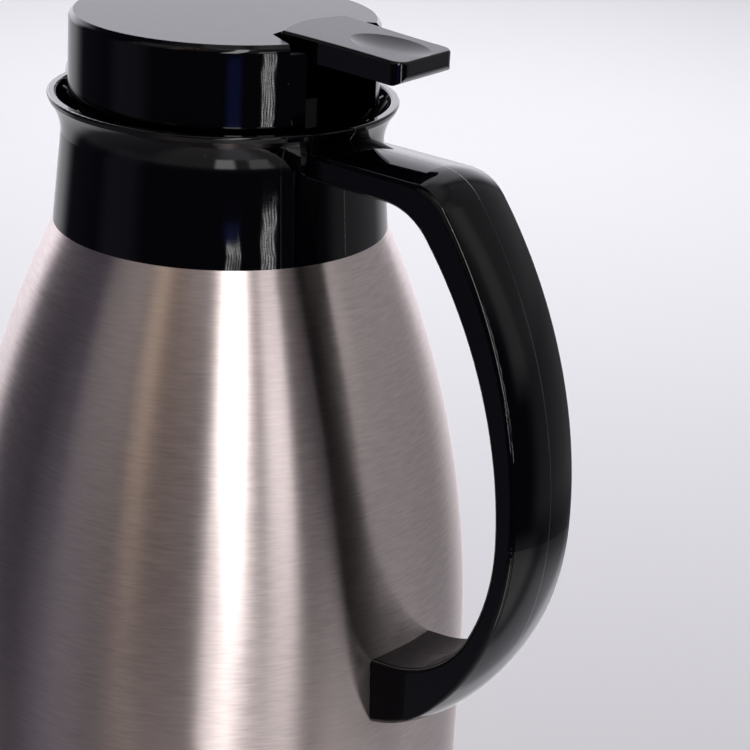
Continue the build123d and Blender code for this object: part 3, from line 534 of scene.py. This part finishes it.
@dataclass(frozen=True)
class Folds:
    """Narrow upright folds that wander sideways as they hang.

    Spacing is in metres. Bend and the half width are in widths of the sheet, fan is in
    spacings, and nick_floor is what is left of the light in a nick.
    """

    spacing: float
    bend_scale: Triple = (0.0, 0.0, 42.0)
    bend: float = 1.2
    fan_scale: Triple = (6.0, 6.0, 60.0)
    fan: float = 4.0
    lit_span: Span = (-0.2, 0.8)
    nick_scale: Triple = (30.0, 30.0, 420.0)
    nick_span: Span = (0.38, 0.56)
    nick_floor: float = 0.25
    half_width: Span = (0.36, 0.26)

    def light(self, graph: Graph, across: Signal, width: float) -> Signal:
        """Share of the sheet's light that the folds send out.

        Args:
            graph: The sheet's graph.
            across: Distance from the sheet's middle line in metres.
            width: The sheet's width in metres.

        Returns:
            A share from 0 to 1.
        """
        bend = graph.noise(graph.place(self.bend_scale), detail=2.0)
        fan = graph.noise(graph.place(self.fan_scale), detail=1.0)
        nicks = graph.noise(graph.place(self.nick_scale), detail=2.0).ramp(*self.nick_span)
        bent = across + bend.swing(width) * self.bend
        phase = (bent + fan.swing(self.spacing) * self.fan) * (tau / self.spacing)
        lines = graph.math(Operation.SINE, phase).ramp(*self.lit_span)
        outer, inner = (width * part for part in self.half_width)
        left = self.nick_floor + nicks * (1.0 - self.nick_floor)
        return abs(bent).ramp(outer, inner) * lines * left


@dataclass(frozen=True)
class Sheet:
    """A bright sheet that stands near the carafe, plain or in narrow folds.

    Its azimuth, from the camera's side, and its half width are in degrees. Edge is the part of
    a plain sheet's half width that fades out.
    """

    name: str
    azimuth: float
    half_width: float
    distance: float
    low: float
    high: float
    radiance: float
    tint: Triple = (1.0, 1.0, 1.0)
    edge: float = 0.25
    folds: Folds | None = None
    cells: tuple[int, int] = (24, 12)

    def shape(self, turn: float, width: float) -> bpy.types.Mesh:
        """Make the upright sheet.

        Args:
            turn: Its azimuth in the solids' frame, in radians.
            width: Its width in metres.

        Returns:
            The mesh.
        """
        middle = (self.low + self.high) / 2.0
        stand = Matrix.Translation((cos(turn) * self.distance, sin(turn) * self.distance, middle))
        stand = stand @ Matrix.Rotation(turn, 4, "Z") @ Matrix.Rotation(radians(90.0), 4, "Y")
        rows, columns = self.cells
        mesh = bpy.data.meshes.new(self.name)
        grid = bmesh.new()
        bmesh.ops.create_grid(grid, x_segments=rows, y_segments=columns, size=0.5)
        bmesh.ops.scale(grid, vec=(self.high - self.low, width, 1.0), verts=grid.verts)
        bmesh.ops.transform(grid, matrix=stand, verts=grid.verts)
        grid.to_mesh(mesh)
        grid.free()
        return mesh

    def build(self, facing: float) -> None:
        """Stand the sheet up.

        Args:
            facing: Azimuth of the camera's side in degrees.
        """
        turn = facing + self.azimuth
        width = 2.0 * self.distance * tan(radians(self.half_width))
        mesh = self.shape(radians(turn), width)
        graph = Graph.material(self.name)
        across = graph.parts(graph.place(turn=turn))[1]
        if self.folds:
            share = self.folds.light(graph, across, width)
        else:
            share = abs(across).ramp(width / 2.0, width / 2.0 * (1.0 - self.edge))
        mesh.materials.append(graph.finish(
            Base_Color=(0.0, 0.0, 0.0, 1.0),
            Emission_Color=graph.mix(share, (0.0, 0.0, 0.0), self.tint),
            Emission_Strength=self.radiance,
        ))
        sheet = bpy.data.objects.new(self.name, mesh)
        sheet.visible_camera = False
        sheet.visible_shadow = False
        bpy.context.scene.collection.objects.link(sheet)


def both_ways(glow: Glow) -> tuple[Glow, Glow]:
    """A patch opposite the camera's side, given on both sides of the azimuth's jump at 180."""
    return glow, replace(glow, azimuth=-glow.azimuth)


@dataclass
class Studio:
    """Pale floor, soft lights and the camera.

    Heading, pitch, roll and facing are in degrees, lens and sensor in millimetres. Facing is
    the azimuth of the camera's side, which the glows and sheets count theirs from. A glow's
    first numbers are its azimuth, half width, lowest and highest elevation, and radiance.
    Dim is the room between the glows, and paper is the backdrop that the camera sees.
    """

    camera_place: Triple = (0.3781, -0.3843, 0.3504)
    heading: float = 129.9
    pitch: float = 21.3
    roll: float = 3.0
    lens: float = 100.0
    sensor: float = 36.0
    floor_size: float = 60.0
    floor_scale: Triple = (3.0, 3.0, 3.0)
    floor_tints: tuple[Triple, Triple] = ((0.80, 0.80, 0.82), (0.84, 0.84, 0.85))
    floor_roughness: float = 0.85
    facing: float = -38.5
    fold_scale: Span = (0.9, 0.03)
    dim: Triple = (0.042, 0.040, 0.056)
    paper: Triple = (0.84, 0.82, 0.87)
    glows: tuple[Glow, ...] = (
        # The bright panel that the steel streaks down, and the floor under it.
        Glow(-4.0, 5.9, 0.0, 55.0, 8.0, side_fade=1.3, end_fade=4.0, lean=0.26),
        Glow(-5.0, 7.4, -50.0, -30.0, 3.4, side_fade=2.0, end_fade=3.0),
        # The dim gap and the folded curtain to its right, and the floor under that.
        Glow(13.5, 5.0, 0.0, 55.0, 0.20, side_fade=2.0, end_fade=4.0),
        Glow(
            22.5, 6.2, 0.0, 24.0, 2.80, (1.0, 0.99, 1.03),
            side_fade=1.5, end_fade=4.0, folds=1.6, lean=0.10,
        ),
        Glow(22.0, 8.5, -50.0, -30.0, 1.3, side_fade=3.0, end_fade=3.0),
        # The ceiling on the camera's side.
        Glow(0.0, 75.0, 22.0, 90.0, 0.20, (1.0, 0.93, 0.88), side_fade=12.0),
        Glow(-8.0, 30.0, 50.0, 72.0, 0.9, side_fade=8.0, end_fade=5.0),
        # The warm wall on the left and the cooler floor under it.
        Glow(-32.0, 12.0, 6.0, 50.0, 0.08, (1.0, 0.55, 0.10), side_fade=6.0, end_fade=4.0),
        Glow(-46.0, 5.0, 6.0, 60.0, 0.66, (1.0, 0.82, 0.60), side_fade=3.5, end_fade=4.0),
        Glow(-68.0, 14.0, 4.0, 60.0, 0.28, (1.0, 0.95, 0.90), side_fade=4.0, end_fade=4.0),
        Glow(-80.0, 14.0, -38.0, 0.0, 0.12, (0.95, 0.95, 1.20), side_fade=8.0),
        # The wall on the right and the ceiling over it.
        Glow(68.0, 8.0, 6.0, 50.0, 0.32, side_fade=4.0, end_fade=5.0),
        Glow(98.0, 35.0, 8.0, 60.0, 0.38, side_fade=4.0, end_fade=5.0),
        Glow(103.0, 30.0, -22.0, 8.0, 0.24, side_fade=8.0, end_fade=5.0),
        Glow(98.0, 60.0, 62.0, 120.0, 0.6, side_fade=10.0, end_fade=5.0),
        # The pale wall behind the carafe, and the floor in front of that wall.
        *both_ways(Glow(180.0, 40.0, 0.0, 60.0, 1.35, (1.0, 0.98, 1.06), side_fade=10.0)),
        *both_ways(
            Glow(180.0, 40.0, 0.0, 20.0, 0.8, (1.0, 0.98, 1.06), side_fade=10.0, end_fade=14.0)
        ),
        Glow(180.0, 48.0, -80.0, 0.0, 0.70, (1.0, 0.99, 1.02), side_fade=10.0, end_fade=6.0),
        Glow(-180.0, 40.0, -80.0, 0.0, 0.70, (1.0, 0.99, 1.02), side_fade=10.0, end_fade=6.0),
        # The floor close to the carafe, all round and in brighter parts.
        Glow(0.0, 220.0, -120.0, -30.0, 0.12, (1.0, 0.96, 1.0), side_fade=4.0, end_fade=6.0),
        Glow(0.0, 60.0, -120.0, -30.0, 0.26, (1.0, 0.93, 0.88), side_fade=12.0, end_fade=6.0),
        Glow(8.0, 16.0, -120.0, -50.0, 0.55, (1.0, 0.95, 1.05), side_fade=10.0, end_fade=3.0),
        Glow(62.0, 16.0, -120.0, -27.0, 0.80, side_fade=8.0, end_fade=5.0),
        Glow(112.0, 26.0, -120.0, -30.0, 0.66, (0.98, 0.97, 1.04), side_fade=8.0),
    )
    sheets: tuple[Sheet, ...] = (
        Sheet("front sheet", -0.3, 6.6, 0.30, 0.118, 0.157, 17.0, folds=Folds(0.008)),
        Sheet("blue board", -0.3, 7.5, 0.60, 0.070, 0.127, 0.66, (0.10, 0.16, 0.85), edge=0.7),
        Sheet("side sheet", 24.0, 7.2, 0.602, 0.088, 0.129, 17.0, folds=Folds(0.020)),
    )
    lamps: tuple[Lamp, ...] = (
        Lamp("overhead", (-0.487, 0.651, 1.0), 1.0, 2.7, (1.0, 0.985, 1.03)),
        Lamp("ceiling", (0.0, 0.0, 5.0), 12.0, 0.32, (1.0, 0.985, 1.03)),
    )

    def floor(self) -> None:
        """Lay a wide pale floor."""
        bpy.ops.mesh.primitive_plane_add(size=self.floor_size)
        floor = bpy.context.object
        floor.name = "floor"
        floor.visible_glossy = False
        graph = Graph.material("floor paper")
        speckle = graph.noise(graph.place(self.floor_scale), detail=4.0)
        floor.data.materials.append(graph.finish(
            Base_Color=graph.mix(speckle, *self.floor_tints), Roughness=self.floor_roughness
        ))

    def room(self) -> None:
        """Surround the set with a dim room, whose patches only reflections show."""
        world = bpy.data.worlds.new("room")
        graph = Graph(world)
        direction = Signal(graph, graph.coordinates.outputs["Generated"])
        about_z = {"rotation_type": "Z_AXIS"}
        turned = graph.add("VectorRotate", about_z, Vector=direction, Angle=-radians(self.facing))
        forward, across, up = graph.parts(turned)
        azimuth = graph.math(Operation.ARCTAN2, across, forward) * degrees(1.0)
        elevation = graph.math(Operation.ARCSINE, up) * degrees(1.0)
        round_scale, rise_scale = self.fold_scale
        place = graph.add("CombineXYZ", None, azimuth * round_scale, elevation * rise_scale, 0.0)
        folds = graph.noise(place, detail=3.0)
        total = graph.add("CombineXYZ", None, *self.dim)
        for glow in self.glows:
            strength = glow.light(azimuth, elevation, folds)
            level = graph.add("CombineXYZ", None, strength, strength, strength)
            total = graph.add("VectorMath", {"operation": "MULTIPLY_ADD"}, level, glow.tint, total)
        seen_by_camera = graph.add("LightPath")
        colour = graph.mix(seen_by_camera, total, self.paper)
        background = graph.add("Background", None, colour, 1.0)
        output = graph.tree.nodes.new("ShaderNodeOutputWorld")
        graph.tree.links.new(background.socket, output.inputs["Surface"])
        world.cycles_visibility.diffuse = False
        bpy.context.scene.world = world

    def camera(self) -> None:
        """Set the camera up."""
        camera = bpy.data.cameras.new("camera")
        camera.lens = self.lens
        camera.sensor_fit = "HORIZONTAL"
        camera.sensor_width = self.sensor
        eye = bpy.data.objects.new("camera", camera)
        level = cos(radians(self.pitch))
        view = Vector((
            cos(radians(self.heading)) * level,
            sin(radians(self.heading)) * level,
            -sin(radians(self.pitch)),
        ))
        upright = view.to_track_quat("-Z", "Y").to_matrix()
        turned = upright @ Matrix.Rotation(radians(self.roll), 3, "Z")
        eye.matrix_world = Matrix.Translation(Vector(self.camera_place)) @ turned.to_4x4()
        bpy.context.scene.collection.objects.link(eye)
        bpy.context.scene.camera = eye

    def build(self) -> None:
        """Set the whole studio up."""
        self.floor()
        for sheet in self.sheets:
            sheet.build(self.facing)
        for lamp in self.lamps:
            lamp.build()
        self.room()
        self.camera()
        bpy.context.scene.view_settings.view_transform = "Standard"


def main() -> None:
    """Build the looks in order."""
    logging.basicConfig(level=logging.INFO, format="%(name)s: %(message)s")
    for part in (SteelBody(), Mouldings(), SmallParts(), Studio()):
        part.build()
        log.info("%s is done", type(part).__name__)


if __name__ == "__main__":
    main()
